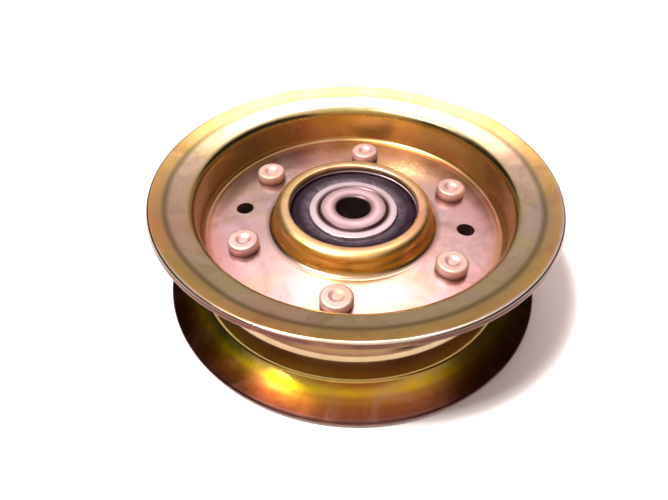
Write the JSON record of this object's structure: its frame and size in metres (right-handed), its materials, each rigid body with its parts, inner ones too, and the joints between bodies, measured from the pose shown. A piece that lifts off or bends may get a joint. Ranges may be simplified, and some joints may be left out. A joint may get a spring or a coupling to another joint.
{
  "type": "belt idler pulley",
  "caption": "Flat-faced belt idler pulley: pressed, riveted, yellow-zinc-plated steel halves on a sealed ball bearing with a bolt bushing.",
  "frame": {"origin": "centre of the bearing, on the spin axis and midway between the two pressings", "axes": "+Z along the spin axis; the two web holes lie on the X axis; the two halves mirror each other across the XY plane"},
  "size_m": [0.108, 0.108, 0.033],
  "materials": {
    "zinc_plated_sheet": "yellow chromate zinc plating, glossy",
    "rivet_steel": "yellow chromate zinc plating, satin",
    "ball_steel": "polished bearing steel",
    "ring_steel": "ground bearing steel",
    "seal_rubber": "moulded nitrile rubber, satin black",
    "insert_steel": "pressed steel washer",
    "cage_steel": "pressed steel ribbon",
    "bushing_steel": "turned steel, zinc plated"
  },
  "bodies": {
    "bearing_core": {"bearing_inner_ring": "ring_steel", "bore_bushing": "bushing_steel"},
    "pulley": {"upper_pulley_half": "zinc_plated_sheet", "lower_pulley_half": "zinc_plated_sheet", "web_rivet_1": "rivet_steel", "web_rivet_2": "rivet_steel", "web_rivet_3": "rivet_steel", "web_rivet_4": "rivet_steel", "web_rivet_5": "rivet_steel", "web_rivet_6": "rivet_steel", "bearing_outer_ring": "ring_steel", "upper_seal": "seal_rubber", "lower_seal": "seal_rubber", "upper_seal_insert": "insert_steel", "lower_seal_insert": "insert_steel"},
    "ball_set": {"bearing_ball_1": "ball_steel", "bearing_ball_2": "ball_steel", "bearing_ball_3": "ball_steel", "bearing_ball_4": "ball_steel", "bearing_ball_5": "ball_steel", "bearing_ball_6": "ball_steel", "bearing_ball_7": "ball_steel", "bearing_ball_8": "ball_steel", "cage_upper_half": "cage_steel", "cage_lower_half": "cage_steel", "cage_rivets": "cage_steel"}
  },
  "joints": [
    {"name": "pulley_spin", "type": "hinge", "parent": "bearing_core", "child": "pulley", "pos_m": [0, 0, 0], "axis": [0, 0, 1], "continuous": true},
    {"name": "cage_orbit", "type": "hinge", "parent": "bearing_core", "child": "ball_set", "pos_m": [0, 0, 0], "axis": [0, 0, 1], "continuous": true}
  ],
  "couplings": [
    {"joint": "cage_orbit", "follows": "pulley_spin", "ratio": 0.6184}
  ]
}
